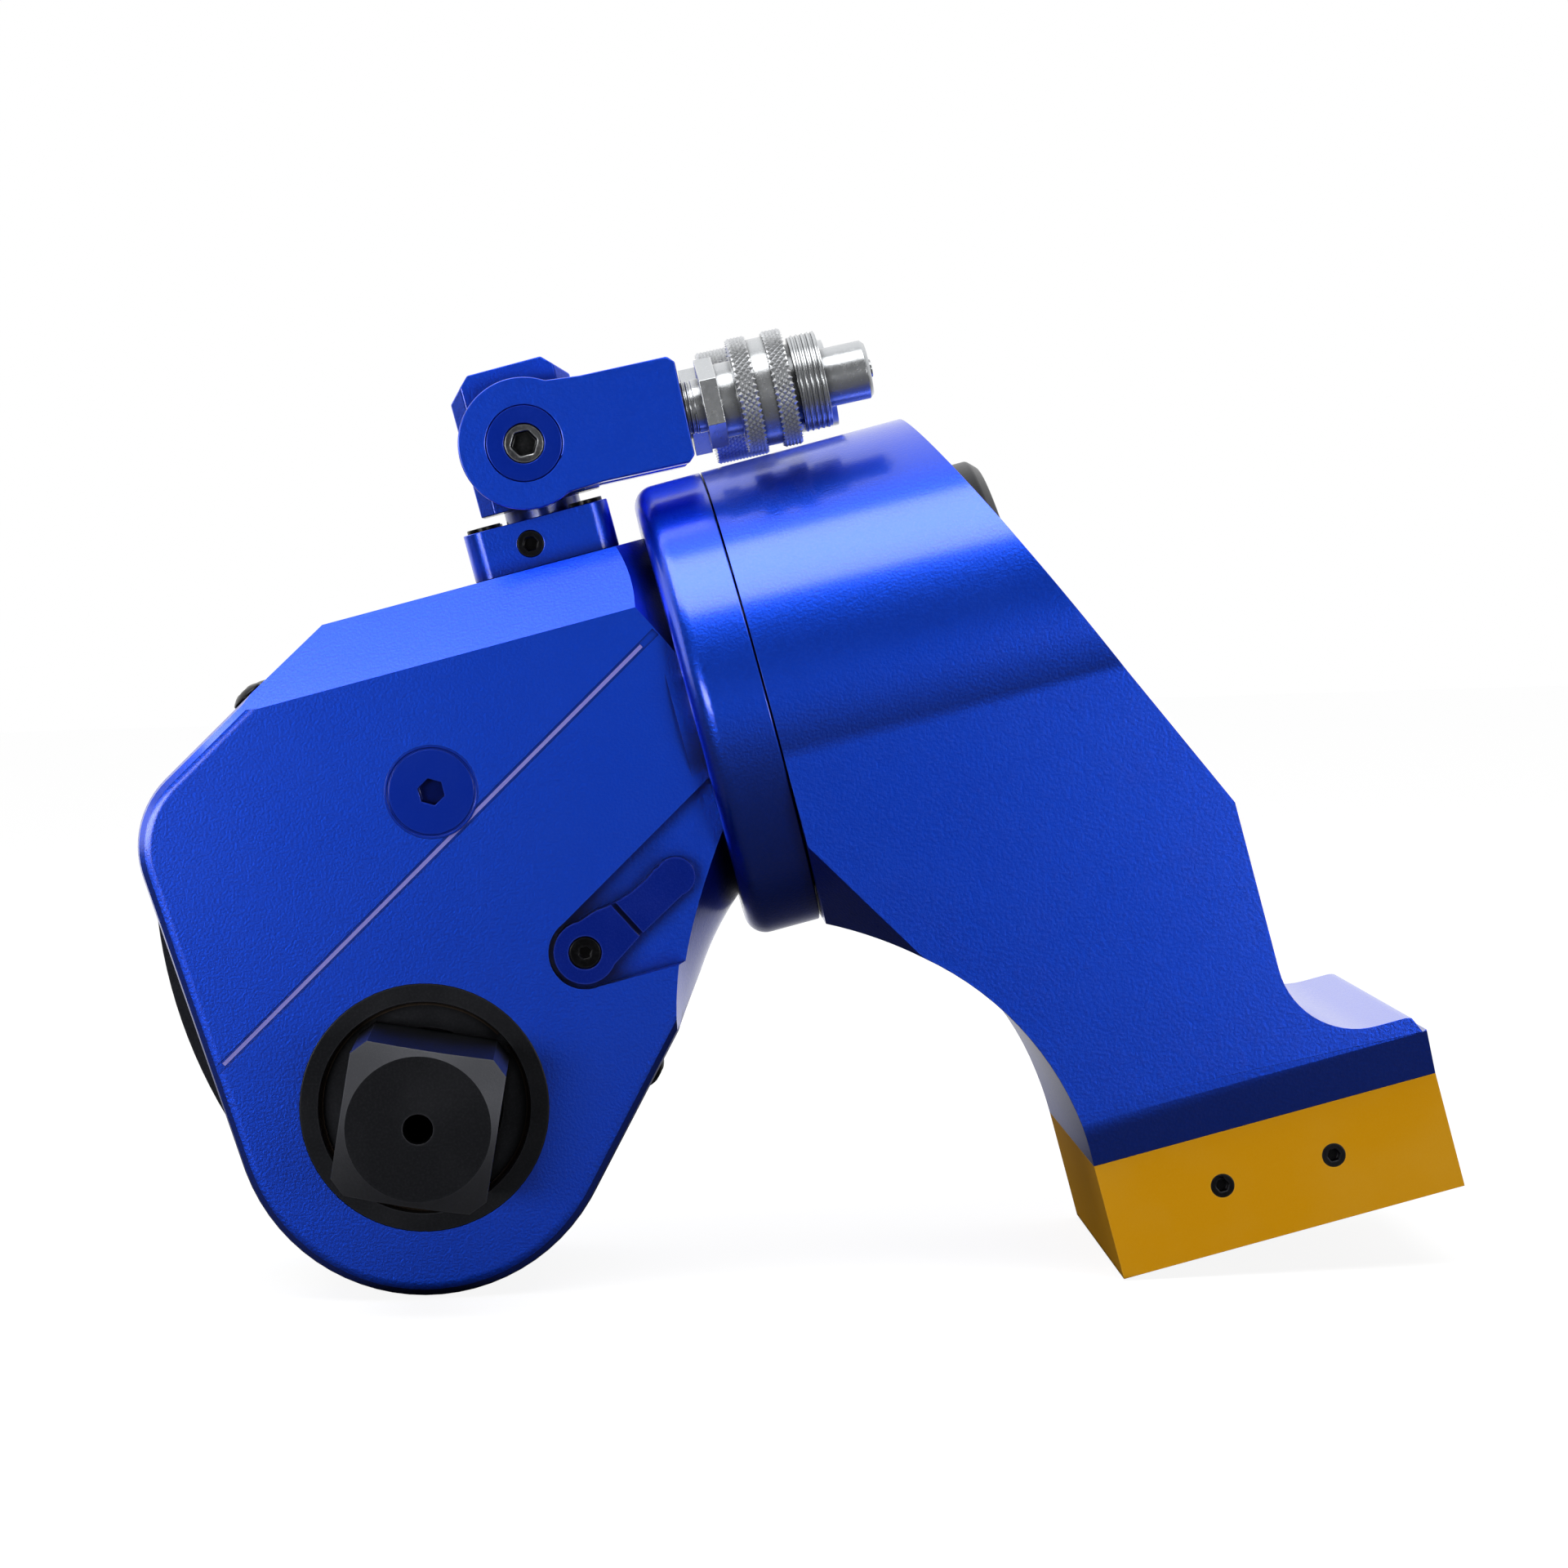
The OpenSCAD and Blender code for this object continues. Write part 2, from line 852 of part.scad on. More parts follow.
module square_drive() {
    shoulder = -hub_end + 2;
    tip = -half_w - square_reach;
    half = square_af / 2;
    bevel = square_af * 0.7071 - square_face_r;
    color("#1b1b1d")
        difference() {
            union() {
                bar_y(shaft_r, shoulder, half_w + shaft_out);
                intersection() {
                    shaft_splines(shaft_r + 2.5, 6);
                    bar_y(shaft_r + 2.5, shoulder, hub_end);
                }
                intersection() {
                    rotate([0, square_turn, 0])
                        slab(tip, shoulder)
                            polygon([for (q = [0 : 3], e = [-1, 1])
                                [cos(q * 90), sin(q * 90)] * (e < 0 ? half : half - square_chamfer)
                                + [-sin(q * 90), cos(q * 90)] * (e < 0 ? half - square_chamfer : half)]);
                    translate([0, shoulder, 0])
                        rotate([90, 0, 0])
                            rotate_extrude()
                                polygon([[0, 0], [40, 0], [40, shoulder - tip - 5],
                                    [square_face_r + bevel, shoulder - tip - 4],
                                    [square_face_r, shoulder - tip], [0, shoulder - tip]]);
                }
            }
            bar_y(centre_r, tip - over, half_w - 20);
            bar_y(stem_r + run_gap, half_w - 2 * stem_in, half_w + shaft_out + over);
        }
}

module drive_retainer() {
    inner = half_w + 1;
    color("#1b1b1d")
        difference() {
            union() {
                bar_y(retainer_r, inner, inner + retainer_t);
                translate([0, inner + retainer_t + retainer_rim, 0])
                    rotate([90, 0, 0])
                        cylinder(h = retainer_rim, r1 = retainer_r - retainer_rim, r2 = retainer_r);
            }
            bar_y(shaft_r, half_w, half_w + shaft_out);
            bar_y(button_r + run_gap, half_w + button_seat, inner + 2 * retainer_t);
            bar_y(stem_r + run_gap, half_w, inner + 2 * retainer_t);
        }
}

module retainer_button() {
    inner = half_w + 1;
    color("#8b8e94")
        difference() {
            union() {
                bar_y(button_r, inner + retainer_t, inner + retainer_t + button_out);
                bar_y(stem_r, half_w - stem_in, inner + retainer_t);
            }
            translate([0, inner + 2 * retainer_t + button_r, 0])
                sphere(button_r + 3);
        }
}

module reaction_pawl() {
    nose_a = 51;
    width = plate_y - free_gap;
    color("#6d7077")
        difference() {
            union() {
                translate([pivot_x, 0, pivot_z])
                    bar_y(pawl_hub_r, -width, width);
                slab(-width, width)
                    polygon([
                        [pivot_x, pivot_z + pawl_arm], [pivot_x, pivot_z - pawl_arm],
                        (ratchet_r + 1) * [cos(nose_a - 18), sin(nose_a - 18)],
                        (ratchet_r + 4) * [cos(nose_a - 1), sin(nose_a - 1)]]);
            }
            translate([pivot_x, 0, pivot_z])
                bar_y(pivot_r, -slot_w, slot_w);
        }
}

module pawl_shaft() {
    color("#8d9097")
        translate([pivot_x, 0, pivot_z])
            difference() {
                bar_y(pivot_r, face_y + pocket_d, slot_y + 12 - free_gap);
                bar_y(2, face_y + pocket_d - over, face_y + pocket_d + 12);
            }
}

module release_lever() {
    tip = 4.9;
    step = 0.6;
    back = face_y + pocket_d - free_gap;
    color("#2438b4")
        translate([pivot_x, 0, pivot_z])
            rotate([0, -lever_a, 0])
                difference() {
                    union() {
                        bar_y(lever_r, face_y, back);
                        slab(face_y, back)
                            polygon([[0, lever_r - 0.4], [lever_step, 5.4], [lever_l - tip, tip - 1.5],
                                [lever_l - tip, -tip - 0.7], [lever_step, -6.1], [0, 0.4 - lever_r]]);
                        translate([lever_l - tip, 0, -1.1])
                            bar_y(tip, face_y, back);
                    }
                    translate([lever_step + 8.6, 0, 33])
                        bar_y(29.7, face_y - over, back + over);
                    translate([lever_step, face_y - over, -20])
                        cube([lever_l, over + step, 40]);
                    translate([lever_step, face_y - over, -20])
                        cube([1.2, over + 2.5, 40]);
                    bar_y(4.2, face_y - over, face_y + 2.5);
                    bar_y(2, face_y - over, face_y + pocket_d);
                }
}

module lever_screw() {
    color("#1c1c1f")
        translate([pivot_x, 0, pivot_z])
            difference() {
                union() {
                    bar_y(3.9, face_y + 0.4, face_y + 2.5);
                    bar_y(2, face_y + 2.5, face_y + pocket_d + 11);
                }
                translate([0, face_y + 2, 0])
                    rotate([90, 0, 0])
                        cylinder(h = 3, r = 1.7, $fn = 6);
            }
}

module swivel_head() {
    cut = 6;
    half = block_w / 2;
    color("#2a3fc4")
        difference() {
            union() {
                translate([swivel_x, 0, block_z])
                    slab(-half, half)
                        polygon([[-half, 0], [half, 0], [half, block_h - cut], [half - cut, block_h],
                            [cut - half, block_h], [-half, block_h - cut]]);
                translate([swivel_x, 0, top_z - post_deep])
                    cylinder(h = post_deep + block_z - top_z, r = post_r);
            }
            translate([swivel_x, 0, axle_z])
                bar_y(axle_r, -block_w, block_w);
            for (x = [-1, 1], y = [-1, 1])
                translate([swivel_x + x * half, y * half, block_z - over])
                    rotate([0, 0, 45])
                        cube([5, 5, 3 * block_h], center = true);
        }
}

module cross_axle() {
    color("#8d9097")
        translate([swivel_x, 0, axle_z])
            bar_y(axle_r, -coupler_y - arm_t / 2 + plug_t, coupler_y + arm_t / 2 - plug_t);
}

// Places a swivel arm's pieces: the arm starts at the cross axle and runs along X
module arm_place() {
    translate([swivel_x, 0, axle_z])
        rotate([0, arm_droop, 0])
            children();
}

module swivel_arm(s) {
    blend = 9;
    inner = coupler_y - arm_t / 2;
    outer = coupler_y + arm_t / 2;
    difference() {
        slab(s > 0 ? inner : -outer, s > 0 ? outer : -inner) {
            circle(hub_r);
            difference() {
                translate([0, -arm_h / 2])
                    square([arm_l, arm_h]);
                for (z = [-1, 1])
                    translate([arm_l, z * arm_h / 2])
                        rotate(45)
                            square(2.4, center = true);
            }
            for (z = [-1, 1])
                difference() {
                    translate([hub_r * 0.5, z > 0 ? arm_h / 2 - 1 : -hub_r])
                        square([blend, hub_r - arm_h / 2 + 1]);
                    translate([hub_r * 0.5 + blend + 4, z * (arm_h / 2 + blend)])
                        circle(blend);
                    difference() {
                        translate([hub_r * 0.5 - 1, z > 0 ? arm_h / 2 : -2 * hub_r])
                            square([2 * blend, 2 * hub_r - arm_h / 2]);
                        polygon([[0, 0], [0, z * (hub_r + 1)], [hub_r * 0.5, z * hub_r * 0.86],
                            [hub_r * 0.5 + blend, z * arm_h / 2]]);
                    }
                }
        }
        bar_y(axle_r + run_gap, -outer - over, outer + over);
        bar_y(plug_r + run_gap, s > 0 ? outer - plug_t + free_gap : -outer - over,
            s > 0 ? outer + over : plug_t - outer - free_gap);
        translate([0, s * coupler_y, 0])
            bar_x(6.5, arm_l - 9, arm_l + over);
    }
}

module axle_plug(s) {
    outer = s * (coupler_y + arm_t / 2);
    inner = outer - s * (plug_t - free_gap);
    translate([swivel_x, 0, axle_z])
        ring_y(plug_r, plug_bore_r, min(inner, outer), max(inner, outer));
}

// Socket screw in the middle of an axle plug
module axle_screw(s) {
    outer = s * (coupler_y + arm_t / 2 - 0.4);
    inner = s * (coupler_y + arm_t / 2 - plug_t + free_gap);
    translate([swivel_x, 0, axle_z])
        difference() {
            bar_y(plug_bore_r - run_gap, min(inner, outer), max(inner, outer));
            translate([0, outer + 4, 0])
                rotate([90, 0, 0])
                    cylinder(h = 8, r = 3.46, $fn = 6);
        }
}

module front_arm() {
    color("#2a3fc4")
        arm_place()
            swivel_arm(-1);
}

module rear_arm() {
    color("#2a3fc4")
        arm_place()
            swivel_arm(1);
}

module front_axle_plug() {
    color("#22357f")
        axle_plug(-1);
}

module rear_axle_plug() {
    color("#22357f")
        axle_plug(1);
}

module front_axle_screw() {
    color("#9da0a6")
        axle_screw(-1);
}

module rear_axle_screw() {
    color("#9da0a6")
        axle_screw(1);
}

// A coupler's axis starts at the arm's end face
module coupler_place(s) {
    arm_place()
        translate([arm_l, s * coupler_y, 0])
            children();
}

// Screwed root, hexagon and spindle, with the hexagon and the sleeve at the given places
module coupler_root(hex_at, sleeve_at) {
    bar_x(6.5, -8.5, hex_at);
    bar_x(6.85, max(0.2, hex_at - 2.1), hex_at);
    translate([hex_at, 0, 0])
        rotate([0, 90, 0])
            cylinder(h = hex_l, r = hex_af / sqrt(3), $fn = 6);
    bar_x(9.5, hex_at + hex_l, sleeve_at - free_gap);
    bar_x(spindle_r, sleeve_at - free_gap, sleeve_at + sleeve_l + free_gap);
}

module male_coupler() {
    color("#c3c6ca")
        coupler_place(-1)
            difference() {
                union() {
                    coupler_root(hex_x, sleeve_x);
                    bar_x(spindle_r, sleeve_x, thread_x);
                    bar_x(thread_r, thread_x, thread_x + thread_l);
                    bar_x(nose_r, thread_x + thread_l, nose_end - 1);
                    translate([nose_end - 1, 0, 0])
                        rotate([0, 90, 0])
                            cylinder(h = 1, r1 = nose_r, r2 = nose_r - 1);
                }
                bar_x(poppet_r + run_gap, nose_end - 9, nose_end + over);
            }
}

module male_sleeve() {
    band = 4.6;
    color("#d2d5d8")
        coupler_place(-1)
            difference() {
                union() {
                    bar_x(sleeve_r, sleeve_x, sleeve_x + band);
                    bar_x(sleeve_r - 0.75, sleeve_x + band, sleeve_x + sleeve_l - band);
                    bar_x(sleeve_r, sleeve_x + sleeve_l - band, sleeve_x + sleeve_l);
                }
                bar_x(spindle_r + run_gap, sleeve_x - over, sleeve_x + sleeve_l + over);
                rotate([112, 0, 0])
                    translate([sleeve_x + sleeve_l - band / 2, 0, spindle_r - over])
                        cylinder(h = sleeve_r, r = 1.2);
            }
}

module male_poppet() {
    color("#aeb1b6")
        coupler_place(-1)
            bar_x(poppet_r, nose_end - 5, nose_end + 0.8);
}

module female_coupler() {
    color("#c3c6ca")
        coupler_place(1)
            difference() {
                union() {
                    coupler_root(socket_hex_x, socket_sleeve_x);
                    bar_x(socket_r, socket_sleeve_x + sleeve_l + free_gap, socket_end);
                }
                bar_x(socket_bore_r, socket_end - socket_deep, socket_end + over);
                bar_x(poppet_r + run_gap, socket_end - socket_deep - 10, socket_end);
            }
}

module female_sleeve() {
    color("#d2d5d8")
        coupler_place(1)
            ring_x(sleeve_r, spindle_r + run_gap, socket_sleeve_x, socket_sleeve_x + sleeve_l);
}

module female_poppet() {
    color("#aeb1b6")
        coupler_place(1)
            bar_x(poppet_r, socket_end - socket_deep - 6, socket_end - socket_deep - 0.1);
}

// Side outline of the reaction arm's leg and foot
module leg_outline() {
    foot_end = foot_x + foot_l;
    difference() {
        union() {
            translate([barrel_x, pad_top])
                square([leg_x - barrel_x, axis_h - pad_top]);
            translate([leg_x - over, pad_top])
                square([foot_end - leg_x + over, -toe_z - pad_top]);
            translate([leg_x - over, -toe_z - over])
                square([toe_fillet + over, toe_fillet + over]);
        }
        translate([leg_x + toe_fillet, toe_fillet - toe_z])
            circle(toe_fillet);
        translate([foot_end - 5, -toe_z - 5])
            difference() {
                square(6);
                circle(5);
            }
        translate([arch_x, arch_z])
            circle(arch_r);
        translate([arch_x, arch_z - 200])
            square([arch_r, 200]);
    }
}

module rear_cut() {
    translate([cut_x, -100, axis_h + barrel_r])
        rotate([0, -cut_a, 0])
            translate([0, 0, -200])
                cube([200, 200, 400]);
}

// Bevel that takes the flat side back to the round barrel beside the arch
module arch_bevels() {
    lean = 26;
    size = 120;
    for (s = [-1, 1])
        translate([barrel_x, s * flank_fit, axis_h - 37])
            rotate([0, 59, 0])
                rotate([s * lean, 0, 0])
                    translate([-size / 2, s > 0 ? -size : 0, -size])
                        cube([size, size, size]);
}

module reaction_arm() {
    color("#2a3fc4")
        difference() {
            union() {
                difference() {
                    slab(-flank_fit, flank_fit)
                        leg_outline();
                    arch_bevels();
                    foot_bevels();
                }
                intersection() {
                    on_axis()
                        bar_x(barrel_r, barrel_x, leg_x);
                    slab(-barrel_r, barrel_r)
                        difference() {
                            translate([barrel_x, axis_h - barrel_r])
                                square([leg_x - barrel_x, 2 * barrel_r]);
                            translate([arch_x, arch_z])
                                circle(arch_r);
                        }
                }
                translate([foot_x + tongue_in, -tongue_y, pad_top - tongue_h])
                    cube([foot_l - 2 * tongue_in, 2 * tongue_y, tongue_h + over]);
            }
            rear_cut();
            on_axis() {
                bar_x(tail_r + free_gap, barrel_x - over, leg_x + over);
                splines(spline_r + free_gap, spline_w + 2 * free_gap, barrel_x - over, leg_x + over);
            }
            pad_screw_places()
                bar_y(pad_screw_r, -flank_fit, flank_fit);
        }
}

// The flat sides lean in below the crease to the narrower pad
module foot_bevels() {
    crease = -46;
    drop = crease - pad_top;
    lean = atan((flank_fit - pad_fit) / drop);
    for (s = [-1, 1])
        translate([0, s * flank_fit, crease])
            rotate([-s * lean, 0, 0])
                translate([foot_x - 20, s > 0 ? 0 : -20, -40])
                    cube([foot_l + 40, 20, 40]);
}

module pad_screw_places() {
    for (x = [-14.5, 14.5])
        translate([foot_x + foot_l / 2 + x, 0, pad_top - pad_h * 0.45])
            children();
}

module reaction_pad() {
    color("#d9a400")
        difference() {
            translate([foot_x, -pad_fit, -sole_z])
                cube([foot_l, 2 * pad_fit, pad_h]);
            translate([foot_x + tongue_in, -tongue_y, pad_top - tongue_h])
                cube([foot_l - 2 * tongue_in, 2 * tongue_y, tongue_h + over]);
            pad_screw_places()
                bar_y(pad_screw_r, -flank_fit, flank_fit);
        }
}

module pad_screws() {
    color("#1c1c1f")
        pad_screw_places()
            for (s = [-1, 1])
                difference() {
                    bar_y(pad_screw_r, s > 0 ? pad_screw_in : -pad_fit, s > 0 ? pad_fit : -pad_screw_in);
                    translate([0, s > 0 ? pad_fit + 1 : 2.5 - pad_fit, 0])
                        rotate([90, 0, 0])
                            cylinder(h = 3.5, r = 1.7, $fn = 6);
                }
}

stand() housing();
stand() shroud();
stand() shroud_screws();
stand() front_bush();
stand() rear_bush();
stand() retaining_rings();
stand() access_plug();
stand() collar();
stand() end_cap();
stand() cap_seal();
stand() rod_seal();
stand() swivel_base();
stand() base_screws();
stand() base_set_screw();
stand() piston();
stand() piston_seal();
stand() piston_rod();
stand() rod_pin();
stand() drive_plates();
stand() plate_spacers();
stand() drive_pawl();
stand() ratchet();
stand() square_drive();
stand() drive_retainer();
stand() retainer_button();
stand() reaction_pawl();
stand() pawl_shaft();
stand() release_lever();
stand() lever_screw();
stand() swivel_head();
stand() cross_axle();
stand() front_arm();
stand() front_axle_plug();
stand() front_axle_screw();
stand() male_coupler();
stand() male_sleeve();
stand() male_poppet();
stand() rear_arm();
stand() rear_axle_plug();
stand() rear_axle_screw();
stand() female_coupler();
stand() female_sleeve();
stand() female_poppet();
stand() reaction_arm();
stand() reaction_pad();
stand() pad_screws();
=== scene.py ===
import json
import math

import bmesh
import bpy
from mathutils import Matrix, Vector

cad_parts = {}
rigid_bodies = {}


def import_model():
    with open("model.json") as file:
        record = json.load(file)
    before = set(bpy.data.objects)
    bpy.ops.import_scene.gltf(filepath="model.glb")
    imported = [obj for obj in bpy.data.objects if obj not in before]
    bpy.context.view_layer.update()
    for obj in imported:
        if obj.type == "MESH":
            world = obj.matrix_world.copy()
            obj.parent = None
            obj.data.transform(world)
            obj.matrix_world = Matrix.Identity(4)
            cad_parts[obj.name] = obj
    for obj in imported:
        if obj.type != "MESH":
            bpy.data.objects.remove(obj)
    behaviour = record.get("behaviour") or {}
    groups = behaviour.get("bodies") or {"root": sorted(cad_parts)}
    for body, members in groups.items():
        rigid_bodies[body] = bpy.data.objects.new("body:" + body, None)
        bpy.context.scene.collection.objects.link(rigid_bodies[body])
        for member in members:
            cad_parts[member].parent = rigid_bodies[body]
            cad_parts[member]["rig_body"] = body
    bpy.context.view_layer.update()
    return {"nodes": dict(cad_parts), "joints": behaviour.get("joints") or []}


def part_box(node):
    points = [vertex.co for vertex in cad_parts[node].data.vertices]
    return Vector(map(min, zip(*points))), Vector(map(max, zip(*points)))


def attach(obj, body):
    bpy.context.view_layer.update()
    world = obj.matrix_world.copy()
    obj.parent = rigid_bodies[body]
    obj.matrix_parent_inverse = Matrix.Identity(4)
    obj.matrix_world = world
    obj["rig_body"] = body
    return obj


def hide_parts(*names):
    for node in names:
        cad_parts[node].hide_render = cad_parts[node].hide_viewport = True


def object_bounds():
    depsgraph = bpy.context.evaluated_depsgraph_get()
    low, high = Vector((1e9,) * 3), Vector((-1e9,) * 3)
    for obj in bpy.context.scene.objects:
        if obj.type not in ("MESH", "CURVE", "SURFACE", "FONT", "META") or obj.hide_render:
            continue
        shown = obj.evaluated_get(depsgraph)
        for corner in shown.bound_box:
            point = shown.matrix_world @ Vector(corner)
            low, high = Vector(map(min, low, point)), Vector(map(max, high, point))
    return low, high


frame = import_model()
scene = bpy.context.scene


# Ratchet head, collar and reaction arm: milled from aluminium bar and anodised royal blue.
# The collar is turned and slid on behind the neck; the arm slides on the cylinder's splines.
# Every machined edge is broken with a small chamfer, which catches the light.
def linear(hex_colour):
    parts = [int(hex_colour[i : i + 2], 16) / 255 for i in (1, 3, 5)]
    return [*(p / 12.92 if p <= 0.04045 else ((p + 0.055) / 1.055) ** 2.4 for p in parts), 1.0]


def add(tree, kind, links=None, values=None, **settings):
    node = tree.nodes.new(kind)
    for key, value in settings.items():
        setattr(node, key, value)
    for key, value in (values or {}).items():
        node.inputs[key].default_value = value
    for key, socket in (links or {}).items():
        tree.links.new(socket, node.inputs[key])
    return node


# A worked surface: fine grit in the gloss, broad patches of handling, lighter edges that are partly worn metal and
# partly painted highlight, and painted shade darkening the seams and hollows.
# Real blasting grit is nearer 0.1 mm; it is drawn several times coarser, so that it shows in the render.
def surface(name, base, worn_and_lit, shade_colour, metallic, roughness, grit_mm, relief=0.05, coat=0.0, coat_roughness=0.15,
            edge=0.5, patch=0.25, shade_mm=2.5, grain=0.1):
    patch_mm = 26
    edge_mm = 0.7
    grit_depth = 0.0004
    aluminium_oxide_ior = 1.76
    material = bpy.data.materials.new(name)
    material.use_nodes = True
    tree = material.node_tree
    shader = tree.nodes["Principled BSDF"]
    place = add(tree, "ShaderNodeTexCoord").outputs["Object"]
    grit = add(tree, "ShaderNodeTexNoise", {"Vector": place}, {"Scale": 1000 / grit_mm, "Detail": 3.0})
    handled = add(tree, "ShaderNodeTexNoise", {"Vector": place}, {"Scale": 1000 / patch_mm, "Detail": 5.0})
    patches = add(tree, "ShaderNodeMapRange", {"Value": handled.outputs["Fac"]},
                  {"From Min": 0.4, "From Max": 0.75, "To Max": patch})
    # Painted highlight and wear: the colour is lightened along rounded edges, partly as worn metal and partly to
    # stand in for the light a broken edge catches.
    rounded = add(tree, "ShaderNodeBevel", values={"Radius": edge_mm / 1000}, samples=4)
    straight = add(tree, "ShaderNodeNewGeometry")
    turn = add(tree, "ShaderNodeVectorMath", {0: rounded.outputs[0], 1: straight.outputs["Normal"]},
               operation="DOT_PRODUCT")
    edges = add(tree, "ShaderNodeMapRange", {"Value": turn.outputs["Value"]},
                {"From Min": 0.995, "From Max": 0.9, "To Max": edge})
    wear_and_highlight = add(tree, "ShaderNodeMath", {0: patches.outputs[0], 1: edges.outputs[0]}, operation="MAXIMUM")
    speckle = add(tree, "ShaderNodeMapRange", {"Value": grit.outputs["Fac"]},
                  {"From Min": 0.45, "From Max": 0.7, "To Max": grain})
    marks = add(tree, "ShaderNodeMath", {0: wear_and_highlight.outputs[0], 1: speckle.outputs[0]},
                operation="ADD", use_clamp=True)
    tint = add(tree, "ShaderNodeMix", {"Factor": marks.outputs[0]}, data_type="RGBA")
    tint.inputs["A"].default_value = linear(base)
    tint.inputs["B"].default_value = linear(worn_and_lit)
    # Painted shade: near other surfaces, in seams, hollows and gaps, ambient occlusion darkens the colour towards the
    # dark shade colour.
    hidden = add(tree, "ShaderNodeAmbientOcclusion", values={"Distance": shade_mm / 1000}, samples=8)
    depth = add(tree, "ShaderNodeMapRange", {"Value": hidden.outputs["AO"]},
                {"From Min": 0.9, "From Max": 0.35, "To Max": 0.9})
    shade = add(tree, "ShaderNodeMix", {"Factor": depth.outputs[0], "A": tint.outputs["Result"]},
                data_type="RGBA")
    shade.inputs["B"].default_value = linear(shade_colour)
    gloss = add(tree, "ShaderNodeMapRange", {"Value": grit.outputs["Fac"]},
                {"To Min": roughness - 0.06, "To Max": roughness + 0.08})
    bump = add(tree, "ShaderNodeBump", {"Height": grit.outputs["Fac"]},
               {"Strength": relief, "Distance": grit_depth})
    tree.links.new(shade.outputs["Result"], shader.inputs["Base Color"])
    tree.links.new(gloss.outputs[0], shader.inputs["Roughness"])
    tree.links.new(bump.outputs["Normal"], shader.inputs["Normal"])
    shader.inputs["Metallic"].default_value = metallic
    shader.inputs["Coat Weight"].default_value = coat
    shader.inputs["Coat Roughness"].default_value = coat_roughness
    shader.inputs["Coat IOR"].default_value = aluminium_oxide_ior
    return material


# A CAD node with its flats joined up and its machined edges broken.
def machined(name, break_mm, material, smooth=20, sharp=24):
    weld_distance = 2e-6
    flat_angle = math.radians(0.4)
    source = frame["nodes"][name]
    mesh = source.data.copy()
    work = bmesh.new()
    work.from_mesh(mesh)
    bmesh.ops.remove_doubles(work, verts=work.verts, dist=weld_distance)
    bmesh.ops.dissolve_limit(work, angle_limit=flat_angle, verts=work.verts, edges=work.edges)
    work.to_mesh(mesh)
    work.free()
    piece = bpy.data.objects.new("made_" + name, mesh)
    scene.collection.objects.link(piece)
    bevel = piece.modifiers.new("broken_edge", "BEVEL")
    bevel.width = break_mm / 1000
    bevel.segments = 3
    bevel.limit_method = "ANGLE"
    bevel.angle_limit = math.radians(sharp)
    bevel.miter_outer = "MITER_ARC"
    mesh = bpy.data.meshes.new_from_object(piece.evaluated_get(bpy.context.evaluated_depsgraph_get()))
    piece.modifiers.clear()
    piece.data = mesh
    mesh.shade_smooth()
    mesh.set_sharp_from_angle(angle=math.radians(smooth))
    even = piece.modifiers.new("even_faces", "WEIGHTED_NORMAL")
    even.keep_sharp = True
    even.weight = 90
    mesh = bpy.data.meshes.new_from_object(piece.evaluated_get(bpy.context.evaluated_depsgraph_get()))
    piece.modifiers.clear()
    piece.data = mesh
    mesh.materials.clear()
    mesh.materials.append(material)
    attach(piece, source["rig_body"])
    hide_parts(name)
    return piece


# Anodised aluminium: a blasted, satin blue metal under a clear oxide skin, which adds a pale lavender glint.
# Its darkest blue is painted shade, spread up to 6 mm into hollows and gaps such as the lever pocket and round the
# collar and swivel.
blue_anodise = surface("blue_anodise", "#044EF2", "#245AF2", "#020A40", metallic=1.0, roughness=0.36, grit_mm=0.7,
                       relief=0.25, coat=0.9, coat_roughness=0.18, edge=0.4, patch=0.15, shade_mm=6, grain=0.3)
for name, break_mm in [("housing", 0.6), ("collar", 0.4), ("reaction_arm", 0.8)]:
    machined(name, break_mm, blue_anodise, smooth=32, sharp=28)


# Groove across both side faces of the head: milled 0.6 mm deep through the blue skin, so bare metal shows.
# It is drawn as a thin bright strip on the groove's floor.
def joint(name):
    return next(j for j in frame["joints"] if j["name"] == name)


# Bare aluminium, fresh from the cutter: pale, and tinted lavender as a painted reflection of the blue walls of the
# groove.
bare_aluminium_painted_reflection = surface("bare_aluminium_painted_reflection", "#9C98FF", "#C4C0FF", "#8E8AFF", metallic=0.4, roughness=0.4, grit_mm=0.5)
tool_x = Vector(joint("arm_slide")["axis"]).normalized()
tool_z = Vector(joint("swivel_turn")["axis"]).normalized()
tool = Matrix((tool_x, tool_z.cross(tool_x), tool_z)).transposed().to_4x4()
tool.translation = joint("drive_turn")["pos_m"]
face_y = joint("drive_turn")["pos_m"][1]
groove_start = Vector((-0.0455, 0, 0.0236))
groove_rise = math.radians(30)
groove_run, groove_w, groove_floor, strip_t = 0.148, 0.0010, 0.0006, 0.0002
work = bmesh.new()
for side in (-1, 1):
    place = (tool @ Matrix.Translation(groove_start + Vector((0, side * (face_y - groove_floor + strip_t / 2), 0)))
             @ Matrix.Rotation(-groove_rise, 4, "Y") @ Matrix.Translation((groove_run / 2, 0, 0))
             @ Matrix.Diagonal((groove_run, strip_t, groove_w, 1)))
    strip = bmesh.ops.create_cube(work, size=1, matrix=place)
    bmesh.ops.bevel(work, geom=list({e for v in strip["verts"] for e in v.link_edges}), offset=strip_t / 4,
                    segments=1, affect="EDGES")
mesh = bpy.data.meshes.new("groove_strips")
work.to_mesh(mesh)
work.free()
mesh.materials.append(bare_aluminium_painted_reflection)
strips = bpy.data.objects.new("groove_strips", mesh)
scene.collection.objects.link(strips)
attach(strips, "body")

